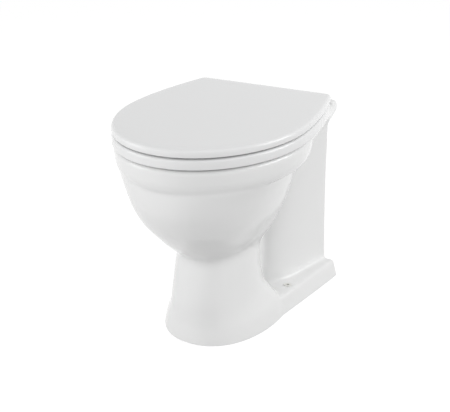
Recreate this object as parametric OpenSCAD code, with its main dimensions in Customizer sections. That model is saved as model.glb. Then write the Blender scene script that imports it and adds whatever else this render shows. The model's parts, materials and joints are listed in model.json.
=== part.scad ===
// Back to wall toilet: a one-piece china pan with a rear shroud, and a hinged seat and lid.
// The wall is at the back (+Y) and the floor at zero height. Distances called "from the wall"
// run forwards from the wall plane. The origin is on the floor under the middle of the object.

/* [Overall] */
// Depth from the wall to the front of the lid
depth = 520; // [500:2:560]
// Width across the lid and seat
lid_w = 360; // [350:1:380]
// Height of the rim above the floor
rim_h = 400; // [390:1:430]

/* [Rim and deck] */
// Distance from the wall to the widest place of the rim
widest_d = 293; // [280:1:305]
// How strongly the sides of the lid curve in towards the back
side_curve = 1.8; // [1.6:0.1:2.2]
// How far the china rim lies inside the edge of the seat
rim_set = 2.5; // [1.5:0.5:4]
// Height of the upright band round the rim
band_h = 48; // [40:1:56]
// Set-in of the bowl under the band
band_step = 13; // [10:1:18]
// Distance from the wall to the back of the band's oval
band_back_d = 78; // [72:1:88]
// Width of the deck at the wall, over the ears
ear_w = 260; // [244:1:270]
// Distance from the wall to where the ear begins
ear_d = 93; // [80:1:110]
// Thickness of the deck
deck_t = 14; // [11:1:16]
// Height of the raised edge of the deck at the wall
deck_rise = 4; // [2:0.5:4]
// Depth of the raised edge
deck_rise_d = 26; // [16:1:28]

/* [Bowl] */
// Height of the neck where the bowl meets the pedestal
neck_z = 165; // [155:1:175]
// Half width of the bowl at the neck
neck_w = 66; // [62:1:70]
// Distance from the wall to the widest place of the bowl at the neck
neck_mid_d = 262; // [256:1:268]
// Distance from the wall to the front of the bowl at the neck
neck_front_d = 378; // [372:1:384]
// Distance from the wall to the back of the bowl at the neck
neck_back_d = 136; // [130:1:142]
// Distance from the wall to the back of the bowl under the rim
bowl_back_d = 143; // [136:1:150]
// Wall between the inside and the outside of the bowl
china_t = 12; // [10:0.5:14]
// Half width of the opening inside the rim
mouth_w = 112; // [106:1:118]
// Distance from the wall to the widest place of the opening
mouth_mid_d = 310; // [302:1:318]
// Distance from the wall to the front of the opening
mouth_front_d = 470; // [464:1:476]
// Distance from the wall to the back of the opening
mouth_back_d = 192; // [186:1:200]
// Height of the lowest place inside the bowl
sump_z = 118; // [114:1:122]
// Half width of the bowl's inside at its lowest place
sump_w = 34; // [30:1:38]
// Distance from the wall to the widest place of the sump
sump_mid_d = 260; // [256:1:264]
// Distance from the wall to the front of the sump
sump_front_d = 297; // [293:1:301]
// Distance from the wall to the back of the sump
sump_back_d = 236; // [232:1:240]
// Distance from the wall to the back of the basin under the rim
basin_back_d = 172; // [168:1:176]
// Thickness of the lip that hangs from the rim
lip_t = 10; // [8:0.5:12]
// Height of the rim channel behind the lip
channel_h = 28; // [24:1:32]

/* [Pedestal and foot] */
// Half width of the foot where its front curve begins
foot_w = 116; // [112:0.5:120]
// Distance from the wall to that place
foot_mid_d = 225; // [218:1:232]
// Distance from the wall to the front of the foot
foot_front_d = 407; // [400:1:414]
// Half width of the foot at the wall
foot_wall_w = 148; // [142:1:154]
// Height of the ledge beside the shroud
ledge_z = 36; // [32:1:40]
// Set-in of the foot's side between the floor and the ledge
foot_draft = 8; // [6:1:10]
// Half width of the waist between the pedestal and the shroud
waist_w = 44; // [43:0.5:46]
// Height of the waist, whose top lies inside the bowl
waist_z = 300; // [290:2:310]
// Distance from the wall to the middle of the waist
waist_mid_d = 190; // [186:1:194]
// Distance from the wall to the front of the waist
waist_front_d = 280; // [276:1:284]
// Distance from the wall to the back of the waist
waist_back_d = 100; // [96:1:104]
// Wall of the hollow pedestal
pedestal_t = 13; // [11:1:15]

/* [Shroud] */
// Half width of the shroud at the wall
shroud_w = 111.5; // [108:0.5:115]
// Gain of that half width at the floor
shroud_splay = 7; // [4:1:10]
// How fast the shroud narrows away from the wall
shroud_slope = 0.24; // [0.2:0.01:0.28]
// Distance from the wall to the front of the shroud
shroud_d = 178; // [172:1:184]
// Wall of the shroud
shroud_t = 12; // [10:0.5:14]
// Height over which the shroud flares out to the deck
flare_h = 47; // [40:1:54]
// Distance from the wall to the front of that flare under the deck
flare_d = 245; // [230:1:255]

/* [Trap and water ways] */
// Height of the outlet's middle
outlet_z = 185; // [180:1:190]
// Outer radius of the outlet spigot
outlet_r = 51; // [49:0.5:52]
// Wall of the outlet spigot
outlet_t = 9; // [8:0.5:10]
// Distance from the wall to the end of the spigot
outlet_end_d = 35; // [30:1:45]
// Distance from the wall to the collar that stops the pan connector
outlet_collar_d = 70; // [68:1:72]
// Distance from the wall to the root of the spigot
outlet_root_d = 86; // [84:1:90]
// Inner radius of the trap at the sump
trap_r = 30; // [29:0.5:31]
// Gain of that radius on the way to the outlet
trap_gain = 5; // [3:0.5:6]
// Wall of the trap
trap_t = 7.5; // [7:0.25:7.75]
// Radius of the trap's bends at the middle of the passage
trap_bend = 42; // [41:0.5:43]
// Distance from the wall to the rising leg of the trap
trap_d = 176; // [174:1:178]
// Height of the middle of the trap's crest
crest_z = 218; // [215:1:221]
// Height of the flush inlet's middle
inlet_z = 345; // [342:1:348]
// Inner radius of the flush inlet
inlet_r = 27.5; // [26:0.5:28]
// Wall of the flush inlet
inlet_t = 6.5; // [6:0.5:8]
// Distance from the wall to the end of the inlet horn
inlet_end_d = 30; // [25:1:40]
// Distance from the wall to the collar that stops the flush connector
inlet_collar_d = 100; // [98:1:102]
// Step out of the collars from their pipes
collar_step = 3; // [2:0.5:4]
// Distance from the wall to the middle of the inlet chamber
chamber_d = 141; // [139:1:143]
// Radius of the ports from that chamber to the rim channel
port_r = 11; // [9:0.5:12]

/* [Floor fixing] */
// Half the distance between the two floor screws
screw_x = 97; // [94:1:100]
// Distance from the wall to the floor screws
screw_d = 157; // [152:1:162]
// Radius of the screw hole in the china
screw_hole_r = 6.5; // [6:0.1:7]
// Inner radius of the plastic sleeve in it
sleeve_bore_r = 3.2; // [3:0.1:3.6]
// Gap all round the sleeve
sleeve_gap = 0.3; // [0.2:0.1:0.5]
// Radius of the sleeve's flange
flange_r = 8.5; // [8:0.5:10]
// Thickness of the sleeve's flange
flange_t = 1.5; // [1:0.25:2]
// Length of the sleeve below its flange
sleeve_l = 26; // [20:1:28]

/* [Seat] */
// Gap between the rim and the seat
seat_gap = 4; // [3.5:0.5:5]
// Thickness of the seat
seat_t = 18; // [16:1:19]
// Half width of the seat's opening
seat_open_w = 105; // [98:1:108]
// Distance from the wall to the widest place of the opening
seat_open_mid_d = 325; // [318:1:332]
// Distance from the wall to the front of the opening
seat_open_front_d = 455; // [450:1:460]
// Distance from the wall to the back of the opening
seat_open_back_d = 195; // [190:1:205]
// Depth of the hollow below the seat
seat_hollow = 11; // [8:1:12]
// Width of the solid edges beside that hollow
seat_edge = 11; // [9:1:14]
// Radius of the buffers
buffer_r = 9; // [7:0.5:10]
// Distance of the front buffers in from the seat's widest side
buffer_front_in = 74; // [70:1:78]
// Distance of the front buffers back from the front of the seat
buffer_front_back = 95; // [88:1:100]
// Distance of the rear buffers in from the seat's widest side
buffer_rear_in = 55; // [50:1:58]
// Distance from the wall to the rear buffers
buffer_rear_d = 150; // [142:1:156]

/* [Lid] */
// Gap between the seat and the lid
lid_gap = 3.5; // [3:0.5:4]
// Thickness of the lid at its edge
lid_t = 14.5; // [13:0.5:15]
// Depth of the hollow below the lid
lid_hollow = 9; // [7:0.5:10]
// Width of the lid's rim round that hollow
lid_edge = 14; // [11:1:18]
// Distance of the lid's buffers in from its widest side
lid_buffer_in = 80; // [76:1:84]
// Distance of the lid's buffers back from its front
lid_buffer_back = 90; // [84:1:96]
// Distance from the wall to the back edge of the lid
lid_back_d = 75; // [72:1:78]
// Width of the lid's back edge
lid_back_w = 288; // [280:1:296]
// Radius of the lid's back corners
corner_r = 12; // [8:1:16]

/* [Hinges] */
// Half the distance between the seat bolts
bolt_x = 77.5; // [75:0.5:80]
// Distance from the wall to the bolts and the hinge pins
hinge_d = 57; // [55:0.5:58]
// Height of the hinge pins above the rim
hinge_rise = 24.5; // [24:0.5:25]
// Radius of the hinge pins
pin_r = 2.5; // [2:0.25:3]
// Radius of the hinge knuckles
knuckle_r = 7; // [6.5:0.25:7.5]
// Width of a hinge post
post_w = 14; // [12:0.5:16]
// Width of a lug on the seat or the lid
lug_w = 12.4; // [10:0.2:14]
// Gap at the side of each lug
lug_gap = 0.4; // [0.3:0.1:0.6]
// Radial gap between a pin and what turns on it
pin_gap = 0.05; // [0.03:0.01:0.08]
// Wall of a hinge bush
bush_t = 1.5; // [1:0.25:2]
// Radius of a post's round base
base_r = 14; // [12:0.5:15]
// Height of a post's round base
base_h = 3.5; // [3:0.5:4]
// Radius of the seat bolts
bolt_r = 4; // [3:0.5:5]
// Radius of the bolt holes in the deck
bolt_hole_r = 8; // [7:0.5:9]
// Thickness of the rubber washers
washer_t = 2; // [1.5:0.5:2.5]
// Radius of the washers under the deck
washer_r = 11; // [10:0.5:12]
// Height of the wing nuts
nut_h = 8; // [7:0.5:10]
// Reach of a wing from the middle of its nut
wing_reach = 15; // [13:0.5:17]

/* [Hidden] */

china_white = [0.95, 0.95, 0.94];
plastic_white = [0.96, 0.96, 0.96];
nylon_white = [0.9, 0.9, 0.88];
rubber_grey = [0.62, 0.62, 0.6];

oval_n = 56;       // points round the outer ovals
inner_n = 44;      // points round the inner ovals
tube_n = 20;       // points round the trap
side_n = 8;        // points along each side of the lid
corner_n = 4;      // steps round a back corner
front_n = 30;      // steps round the front of the lid
shroud_n = 12;     // points along each side of the shroud
round_fn = 32;     // facets of the small rounded blends

deck_z = rim_h - deck_t;
crease_z = rim_h - band_h;
flare_z = rim_h - 8 - flare_h;
seat_z = rim_h + seat_gap;
seat_top_z = seat_z + seat_t;
lid_z = seat_top_z + lid_gap;
hinge_z = rim_h + hinge_rise;
post_z = rim_h + washer_t;
bush_r = pin_r + pin_gap + bush_t;
rest_gap = 0.3;
cut = 1;

seat_lug_x = bolt_x - post_w / 2 - lug_gap - lug_w / 2;
lid_lug_x = bolt_x + post_w / 2 + lug_gap + lug_w / 2;
// Each buffer spot holds the turn of its pad, its place across and its distance from the wall.
buffer_spots = [[45, lid_w / 2 - buffer_front_in, depth - buffer_front_back],
    [0, lid_w / 2 - buffer_rear_in, buffer_rear_d]];
lid_buffer_x = lid_w / 2 - lid_buffer_in;
lid_buffer_d = depth - lid_buffer_back;

function lerp(a, b, t) = a + (b - a) * t;
function ease(t) = let (u = max(0, min(1, t))) u * u * (3 - 2 * u);
function from_wall(d) = depth / 2 - d;
function power(v, n) = sign(v) * pow(abs(v), n);
function at(outline, z) = [for (p = outline) [p[0], p[1], z]];
function average(list) = [for (k = [0, 1, 2]) [for (p = list) p[k]] * [for (p = list) 1] / len(list)];
function mirrored(half) = [for (i = [len(half) - 1:-1:0]) [-half[i][0], half[i][1]]];

// Smooth curve through the rows of a table whose first column rises; gives the other columns at v.
function slope(rows, i, k) = let (a = max(i - 1, 0), b = min(i + 1, len(rows) - 1))
    (rows[b][k] - rows[a][k]) / (rows[b][0] - rows[a][0]);
function row_at(rows, v, k, i) = let (h = rows[i + 1][0] - rows[i][0], t = (v - rows[i][0]) / h)
    rows[i][k] * (1 - t) * (1 - t) * (1 + 2 * t) + rows[i + 1][k] * t * t * (3 - 2 * t)
    + h * (slope(rows, i, k) * t * (1 - t) * (1 - t) - slope(rows, i + 1, k) * t * t * (1 - t));
function curve(rows, v) = let (i = max([for (j = [0:len(rows) - 2]) if (rows[j][0] <= v) j]))
    [for (k = [1:len(rows[0]) - 1]) row_at(rows, v, k, i)];

// Oval seen from above: half width w at distance mid from the wall, reaching to front and back.
function oval(w, mid, front, back, n = 2, sides = oval_n) = [for (i = [0:sides - 1])
    let (a = 360 * i / sides, s = sin(a), reach = s < 0 ? front - mid : mid - back)
    [w * power(cos(a), 2 / n), from_wall(mid) + reach * power(s, 2 / n)]];

// Solid through a stack of rings with the same number of points.
module skin(rings) {
    n = len(rings[0]);
    m = len(rings);
    points = concat([for (r = rings) each r], [average(rings[0]), average(rings[m - 1])]);
    walls = [for (j = [0:m - 2], i = [0:n - 1]) let (a = j * n + i, b = j * n + (i + 1) % n)
        each [[a, a + n, b + n], [a, b + n, b]]];
    floor = [for (i = [0:n - 1]) [n * m, i, (i + 1) % n]];
    roof = [for (i = [0:n - 1]) [n * m + 1, (m - 1) * n + (i + 1) % n, (m - 1) * n + i]];
    polyhedron(points, concat(walls, floor, roof), convexity = 8);
}

module on_both_sides() {
    for (side = [-1, 1]) {
        scale_x(side) children();
    }
}

// Left and right pieces are mirror images.
module scale_x(side) {
    if (side < 0) {
        mirror([1, 0, 0]) children();
    } else {
        children();
    }
}

// ---- plan outlines ----

// Half width of the lid at distance d from the wall, moved in by e.
function lid_half(d, e) = lid_w / 2 - e - (lid_w - lid_back_w) / 2
    * pow(max(0, widest_d - d) / (widest_d - lid_back_d), side_curve);

// Outline of the lid, seat and rim, moved in by e.
function lid_outline(e) = let (
    r = max(corner_r - e / 2, 3),
    d_end = lid_back_d + e + r,
    x_end = lid_half(d_end, e) - r,
    side = [for (i = [0:side_n - 1]) let (d = lerp(widest_d, d_end, i / side_n))
        [lid_half(d, e), from_wall(d)]],
    corner = [for (i = [0:corner_n]) let (a = 90 * i / corner_n)
        [x_end + r * cos(a), from_wall(d_end) + r * sin(a)]],
    half = concat(side, corner),
    front = [for (i = [1:front_n - 1]) let (a = 180 * i / front_n)
        [-(lid_w / 2 - e) * cos(a), from_wall(widest_d) - (depth - widest_d - e) * sin(a)]])
    concat(half, mirrored(half), front);

// Half width of the shroud's side panels.
function shroud_half(d, z) =
    shroud_w + shroud_splay * pow(max(0, 1 - z / flare_z), 2) - shroud_slope * d;

// Half width of the deck, which spreads to an ear at the wall.
function deck_half(d) = lid_half(d, rim_set)
    + (ear_w / 2 - lid_half(0, rim_set)) * pow(max(0, 1 - d / ear_d), 2) - ease((d - 60) / 60);

// Outline of the shroud at height z: flare is how far it has spread towards the deck, e moves it in.
function shroud_outline(z, flare, e, back = 0) = let (
    reach = lerp(shroud_d, flare_d, flare),
    half = [for (i = [0:shroud_n])
        let (t = i / shroud_n, u = 1 - t * t * (1.6 - 0.6 * t), d = reach * u, bend = pow(1 - pow(u, 6), 1 / 3))
        [bend * lerp(shroud_half(shroud_d * u, z), deck_half(d), flare) * (1 - e / shroud_w),
            from_wall(i == shroud_n ? back : d * (1 - e / reach))]])
    concat(half, mirrored([for (i = [1:shroud_n]) half[i]]));

// Outline of the foot, moved in by e; the pedestal covers its front.
function foot_half(d) = foot_wall_w - (foot_wall_w - foot_w) * pow(d / foot_mid_d, 1.1);
function foot_outline(e) = let (
    side = [for (i = [0:shroud_n - 1]) let (d = lerp(foot_mid_d, 0, i / (shroud_n - 1)))
        [foot_half(d) - e * lerp(1, 1.2, d / foot_mid_d), from_wall(d)]],
    ring = oval(foot_w - 1.2 * e, foot_mid_d, foot_front_d - 1.5 - 0.6 * e, 0, 2.1),
    front = [for (p = ring) if (p[1] < from_wall(foot_mid_d + 1)) p])
    concat(side, mirrored(side), front);

// ---- the pan ----

bowl_front_d = depth - rim_set - band_step;
bowl_top_w = lid_w / 2 - rim_set - band_step - 7;

// Shares of the gain in half width and in reach on the way from the neck up to the band.
bowl_rows = [[0, 0, 0], [0.16, 0.24, 0.28], [0.35, 0.44, 0.57], [0.53, 0.62, 0.81], [0.72, 0.76, 0.96],
    [0.88, 0.88, 1], [1, 1, 1]];

// Outside of the bowl at share u of that way, moved in by e.
function bowl_oval(u, e) = let (s = curve(bowl_rows, u)) oval(
    lerp(neck_w, bowl_top_w, s[0]) - e,
    lerp(neck_mid_d, widest_d, u),
    lerp(neck_front_d, bowl_front_d, s[1]) - e,
    lerp(neck_back_d, bowl_back_d, u) + e, 2.3);

module bowl_body() {
    under = [[-45, 42, 235], [-28, 26, 205], [-12, 10, 172]];
    rings = concat(
        [for (s = under)
            at(oval(neck_w - s[1], neck_mid_d, neck_front_d - s[1] - 4, s[2], 2.3), neck_z + s[0])],
        [for (u = [0, 0.08, 0.17, 0.27, 0.38, 0.5, 0.62, 0.75, 0.88, 1])
            at(bowl_oval(u, 0), lerp(neck_z, crease_z, u))],
        [at(bowl_oval(1, 4), crease_z + 10)]);
    skin(rings);
}

// Upright band under the rim, with a chamfered lower edge and a rounded upper one.
module rim_band() {
    levels = [[0, band_step], [5, 8], [11, 4.5], [20, 2], [34, 0.6], [band_h - 4, 0],
        [band_h - 1.2, 1.5], [band_h, 5]];
    skin([for (l = levels) let (e = rim_set + l[1])
        at(oval(lid_w / 2 - e, widest_d, depth - e, band_back_d + l[1]), crease_z + l[0])]);
}

// Top plate of the rim, which follows the seat's outline back to the deck.
module rim_plate() {
    levels = [[-26, 30], [-17, 14], [-10, 5], [-5, 1], [-2, 1.6], [0, 5]];
    skin([for (l = levels) at(lid_outline(rim_set + l[1]), rim_h + l[0])]);
}

// Shroud with its side panels, flaring out to the deck.
module shroud_body() {
    low = ledge_z + 25;
    heights = concat([0, ledge_z, ledge_z + 8, low], [for (s = [0.2, 0.45, 0.7]) lerp(low, flare_z, s)],
        [for (s = [0, 0.2, 0.4, 0.6, 0.8, 1]) lerp(flare_z, flare_z + flare_h, s)]);
    rings = [for (z = heights) at(shroud_outline(z, ease((z - flare_z) / flare_h), 0), z)];
    top = [for (l = [[-1.5, 1.5], [0, 5]]) at(shroud_outline(flare_z, 1, l[1]), rim_h + l[0])];
    skin(concat(rings, top));
}

// Raised edge along the back of the deck.
module deck_edge() {
    function strip(e, z) = [
        [ear_w / 2 - e, from_wall(0), z], [-ear_w / 2 + e, from_wall(0), z],
        [-deck_half(deck_rise_d) + e, from_wall(deck_rise_d - e / 3), z],
        [deck_half(deck_rise_d) - e, from_wall(deck_rise_d - e / 3), z]];
    skin([strip(2, rim_h - 6), strip(2, rim_h), strip(4, rim_h + deck_rise - 1),
        strip(9, rim_h + deck_rise)]);
}

// Pedestal column: rows hold height, half width, widest place, front and back, all from the wall.
pedestal_rows = [
    [0, foot_w + 1, foot_mid_d, foot_front_d, 160],
    [ledge_z / 2, foot_w - 3.5, foot_mid_d, foot_front_d - 2, 164],
    [ledge_z, foot_w - 9.5, foot_mid_d, foot_front_d - 4.5, 168],
    [ledge_z + 10, foot_w - 17, foot_mid_d + 14, foot_front_d - 4.5, 169],
    [ledge_z + 24, foot_w - 25.5, foot_mid_d + 34, foot_front_d - 4.5, 172],
    [ledge_z + 44, neck_w + 17.5, foot_mid_d + 50, foot_front_d - 4.5, 183],
    [120, neck_w + 12, 281, neck_front_d + 17, 193],
    [neck_z, neck_w + 9, 282, neck_front_d + 4, 196],
    [neck_z + 30, neck_w, 281, neck_front_d - 7, 207]];
function pedestal_ring(z, e) = let (s = curve(pedestal_rows, z))
    at(oval(s[0] - e, s[1], s[2] - e, s[3] + e, 2.2), z);

module pedestal_body() {
    skin([for (z = [0, 18, ledge_z, 42, 49, 59, 72, 94, 118, 142, neck_z, neck_z + 29]) pedestal_ring(z, 0)]);
}

module waist_body() {
    skin([for (z = [0, waist_z]) at(oval(waist_w, waist_mid_d, waist_front_d, waist_back_d, 4), z)]);
}

module plinth_body() {
    levels = [[0, 0], [ledge_z - 6, foot_draft], [ledge_z - 2, foot_draft + 2], [ledge_z, foot_draft + 6]];
    skin([for (l = levels) at(foot_outline(l[1]), l[0])]);
}

module outer_body() {
    bowl_body();
    rim_band();
    rim_plate();
    shroud_body();
    deck_edge();
    pedestal_body();
    waist_body();
    plinth_body();
}

module pedestal_hollow() {
    roof = [[sump_z - 30, 0], [sump_z - 20, 12], [sump_z - 14, 30]];
    skin(concat([for (z = [0, ledge_z, 66]) at(pedestal_ring(z, pedestal_t), z == 0 ? -cut : z)],
        [for (l = roof) pedestal_ring(l[0], pedestal_t + l[1])]));
}

module shroud_hollow() {
    heights = concat([-5, ledge_z], [for (s = [0.2, 0.7]) lerp(ledge_z + 25, flare_z, s)],
        [flare_z, flare_z + 0.4 * flare_h, deck_z]);
    skin([for (z = heights) let (flare = 0.7 * ease((z - flare_z) / flare_h))
        at(shroud_outline(max(z, 0), flare, shroud_t, -cut), z)]);
}

// Inside of the bowl below the rim channel, moved out by e.
function basin_ring(u, e) = let (s = curve(bowl_rows, u)) at(oval(
    lerp(sump_w, bowl_top_w - china_t, s[0]) + e / 2,
    lerp(sump_mid_d, widest_d, u),
    lerp(sump_front_d, bowl_front_d - china_t, s[1]) + e / 2,
    lerp(sump_back_d, basin_back_d, u) - e, 2, inner_n), lerp(sump_z, crease_z, u) - (u == 0 ? e : 0));

module basin_wall() {
    top = oval(bowl_top_w - china_t / 2, widest_d, bowl_front_d - china_t, basin_back_d - china_t, 2, inner_n);
    skin(concat([for (u = [0, 0.1, 0.25, 0.5, 0.75, 1]) basin_ring(u, china_t)], [at(top, deck_z + 2)]));
}

function mouth(e) = oval(mouth_w + e, mouth_mid_d, mouth_front_d + e, mouth_back_d - e, 2.1, inner_n);

// Room inside the bowl and the rim channel; the lip hangs down in front of the channel.
module basin_space() {
    low = deck_z - channel_h;
    half = bowl_top_w - china_t;
    front = bowl_front_d - china_t;
    difference() {
        skin(concat([for (u = [0, 0.1, 0.22, 0.36, 0.52, 0.68, 0.84, 1]) basin_ring(u, 0)],
            [for (l = [[0.3, 8], [0.75, 11], [1, 3]])
                at(oval(half + l[1], widest_d, front + l[1] / 2, basin_back_d, 2, inner_n),
                    lerp(low, deck_z, l[0]))]));
        skin([at(mouth(lip_t - 2), low + 4), at(mouth(lip_t), low + 8), at(mouth(lip_t), deck_z + cut)]);
    }
    skin([at(mouth(0), low), at(mouth(0), rim_h - 5), at(mouth(1.5), rim_h - 1.5), at(mouth(6), rim_h + 0.01)]);
}

// Line of the trap from the sump, round the bend, over the crest and down to the outlet.
// Each step turns by an angle and runs on: an arc of the bend's radius or a straight length.
function arc(turn, steps) = [for (i = [1:steps]) [turn / steps, 2 * trap_bend * sin(abs(turn) / steps / 2)]];
function walk(steps, p, i = 0) = i == len(steps) ? [p] :
    let (s = steps[i], h = p[2] + s[0] / 2, next = [p[0] - s[1] * cos(h), p[1] + s[1] * sin(h), p[2] + s[0]])
    concat([p], walk(steps, next, i + 1));
trap_fall = 45;
trap_rise = 34;
trap_run = 36;
trap_drop = (crest_z - outlet_z - 2 * trap_bend * (1 - cos(trap_fall))) / sin(trap_fall);
trap_steps = concat([[0, trap_run]], arc(90 + trap_fall, 6), [[0, trap_rise]],
    arc(-90 - trap_fall, 6), [[0, trap_drop]], arc(trap_fall, 3));
bend_z = crest_z - trap_bend - trap_rise;
trap_start = [trap_d + trap_bend + (trap_bend + trap_run) * sin(trap_fall),
    bend_z + (trap_run - trap_bend) * sin(trap_fall), -trap_fall];
trap_line = walk(trap_steps, trap_start);

// Tube along the trap's line. Its wall starts a little later than the water way and ends early.
module trap(wall) {
    last = len(trap_line) - 1;
    end = wall > 0 ? last - 3 : last;
    skin([for (i = [0:end]) let (
        h = trap_line[i][2],
        r = trap_r + wall + trap_gain * i / last,
        on = wall > 0 && (i == 0 || i == end) ? 3.5 : 0,
        d = trap_line[i][0] - on * cos(h),
        z = trap_line[i][1] + on * sin(h))
        [for (k = [0:tube_n - 1]) let (q = 360 * k / tube_n)
            [r * cos(q), from_wall(d) + r * sin(q) * sin(h), z - r * sin(q) * cos(h)]]]);
}

// Thickening that joins the trap to the outlet spigot.
module outlet_root() {
    rows = [[44, 22, 38], [30, 12, 42], [16, 6, 46], [0, 0, outlet_r - 0.5], [-5, 0, outlet_r - 0.5]];
    skin([for (s = rows) [for (k = [0:2 * tube_n - 1]) let (q = 180 * k / tube_n)
        [s[2] * cos(q), from_wall(outlet_root_d + s[0]), outlet_z + s[1] - s[2] * sin(q)]]]);
}

module lying_cylinder(r, back_d, front_d, z) {
    translate([0, from_wall(front_d), z]) rotate([-90, 0, 0]) cylinder(r = r, h = front_d - back_d, $fn = 96);
}

module cast_skin() {
    difference() {
        union() {
            difference() {
                outer_body();
                pedestal_hollow();
                shroud_hollow();
            }
            basin_wall();
            trap(trap_t);
            outlet_root();
        }
        basin_space();
        trap(0);
    }
}

module pan() {
    chamber_r = inlet_r + 1.5;
    chamber_low = inlet_z - chamber_r - inlet_t - 1;
    color(china_white) difference() {
        union() {
            // Firing brings the cast body to its rim height.
            resize([0, 0, rim_h + deck_rise]) cast_skin();
            lying_cylinder(outlet_r, outlet_end_d, outlet_collar_d + cut, outlet_z);
            lying_cylinder(outlet_r + collar_step, outlet_collar_d, outlet_root_d, outlet_z);
            lying_cylinder(inlet_r + inlet_t, inlet_end_d, inlet_collar_d + cut, inlet_z);
            lying_cylinder(inlet_r + inlet_t + collar_step, inlet_collar_d, chamber_d, inlet_z);
            translate([0, from_wall(chamber_d), chamber_low])
                cylinder(r = chamber_r + inlet_t, h = deck_z + 1 - chamber_low, $fn = 96);
        }
        lying_cylinder(outlet_r - outlet_t, outlet_end_d - cut, outlet_root_d + 2, outlet_z);
        lying_cylinder(inlet_r, inlet_end_d - cut, chamber_d, inlet_z);
        translate([0, from_wall(chamber_d), chamber_low + inlet_t])
            cylinder(r = chamber_r, h = deck_z - 2 - chamber_low - inlet_t, $fn = 96);
        translate([0, from_wall(chamber_d + chamber_r - 4), deck_z - port_r - 4]) rotate([0, 90, 0])
            cylinder(r = port_r, h = 2 * inlet_r, center = true, $fn = 48);
        on_both_sides() {
            translate([bolt_x, from_wall(hinge_d), deck_z - 10])
                cylinder(r = bolt_hole_r, h = deck_t + 20, $fn = 48);
            translate([screw_x, from_wall(screw_d), -cut])
                cylinder(r = screw_hole_r, h = ledge_z + 12, $fn = 48);
        }
    }
}

// ---- floor fixing ----

module floor_sleeve(side) {
    color(nylon_white) scale_x(side) translate([screw_x, from_wall(screw_d), ledge_z]) difference() {
        union() {
            translate([0, 0, -sleeve_l])
                cylinder(r = screw_hole_r - sleeve_gap, h = sleeve_l + flange_t, $fn = 48);
            cylinder(r = flange_r, h = flange_t, $fn = 48);
        }
        translate([0, 0, -sleeve_l - cut])
            cylinder(r = sleeve_bore_r, h = sleeve_l + flange_t + 2 * cut, $fn = 48);
    }
}

// ---- seat ----

function seat_mouth(e) =
    oval(seat_open_w + e, seat_open_mid_d, seat_open_front_d + e, seat_open_back_d - e, 2.1, inner_n);

module seat_shell() {
    outer = [[0, 1.5], [1.5, 0], [seat_t - 5, 0], [seat_t - 2, 1.5], [seat_t - 0.6, 4], [seat_t, 9]];
    inner = [[-cut, 1.5], [2, 0], [seat_t - 7, 0], [seat_t - 3, 2], [seat_t - 1, 5], [seat_t + 0.01, 11]];
    difference() {
        skin([for (l = outer) at(lid_outline(l[1]), seat_z + l[0])]);
        skin([for (l = inner) at(seat_mouth(l[1]), seat_z + l[0])]);
        seat_hollow_ring();
    }
}

// Hollow under the seat, crossed by pads that carry the buffers.
module seat_hollow_ring() {
    difference() {
        skin([at(lid_outline(seat_edge), seat_z - cut), at(lid_outline(seat_edge + 2), seat_z + seat_hollow)]);
        skin([at(seat_mouth(seat_edge), seat_z - 2 * cut), at(seat_mouth(seat_edge), seat_z + seat_t)]);
        on_both_sides() {
            for (s = buffer_spots) {
                translate([s[1], from_wall(s[2]), seat_z - cut]) rotate(s[0])
                    cube([120, 2.6 * buffer_r, 3 * seat_t], center = true);
            }
        }
    }
}

// Lug that reaches back from the edge of the seat or the lid to the hinge pin.
module lug(x, low_z, high_z) {
    root_d = lid_back_d + 6;
    hull() {
        translate([x - lug_w / 2, from_wall(hinge_d), hinge_z]) rotate([0, 90, 0])
            cylinder(r = knuckle_r, h = lug_w, $fn = round_fn);
        translate([x - lug_w / 2, from_wall(root_d), low_z]) cube([lug_w, 3, high_z - low_z]);
    }
}

module across(x, length, r) {
    translate([x - length / 2, from_wall(hinge_d), hinge_z]) rotate([0, 90, 0])
        cylinder(r = r, h = length, $fn = 48);
}

module seat() {
    color(plastic_white) difference() {
        union() {
            resize([lid_w, 0, 0]) seat_shell();
            on_both_sides() lug(seat_lug_x, seat_z + 3, seat_top_z - 3);
        }
        on_both_sides() across(seat_lug_x, lug_w + 2 * cut, bush_r + pin_gap);
    }
}

module seat_buffer(side, row) {
    s = buffer_spots[row];
    color(rubber_grey) scale_x(side) translate([s[1], from_wall(s[2]), rim_h + rest_gap]) {
        cylinder(r1 = buffer_r - 1, r2 = buffer_r, h = 1, $fn = 48);
        translate([0, 0, 1]) cylinder(r = buffer_r, h = seat_gap - rest_gap - 1, $fn = 48);
    }
}

// ---- lid ----

module lid_shell() {
    outer = [[0, 2.5], [1.5, 0.5], [4, 0], [lid_t - 6, 0], [lid_t - 3.5, 0.8], [lid_t - 1.6, 2.4],
        [lid_t - 0.6, 4.8], [lid_t, 10]];
    inner = [[-cut, 0], [lid_hollow - 3, 2], [lid_hollow, 6]];
    difference() {
        skin([for (l = outer) at(lid_outline(l[1]), lid_z + l[0])]);
        skin([for (l = inner) at(lid_outline(lid_edge + l[1]), lid_z + l[0])]);
    }
}

module lid() {
    color(plastic_white) difference() {
        union() {
            resize([lid_w, 0, 0]) lid_shell();
            on_both_sides() {
                lug(lid_lug_x, lid_z + 2, lid_z + lid_t - 3);
                translate([lid_buffer_x, from_wall(lid_buffer_d), lid_z])
                    cylinder(r = buffer_r + 2, h = lid_hollow + 1, $fn = 48);
            }
        }
        on_both_sides() across(lid_lug_x, lug_w + 2 * cut, bush_r + pin_gap);
    }
}

module lid_buffer(side) {
    place = [lid_buffer_x, from_wall(lid_buffer_d), seat_top_z + rest_gap];
    color(rubber_grey) scale_x(side) translate(place) {
        cylinder(r1 = buffer_r - 1, r2 = buffer_r, h = 1, $fn = 48);
        translate([0, 0, 1]) cylinder(r = buffer_r, h = lid_gap - rest_gap - 1, $fn = 48);
    }
}

// ---- hinges ----

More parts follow.
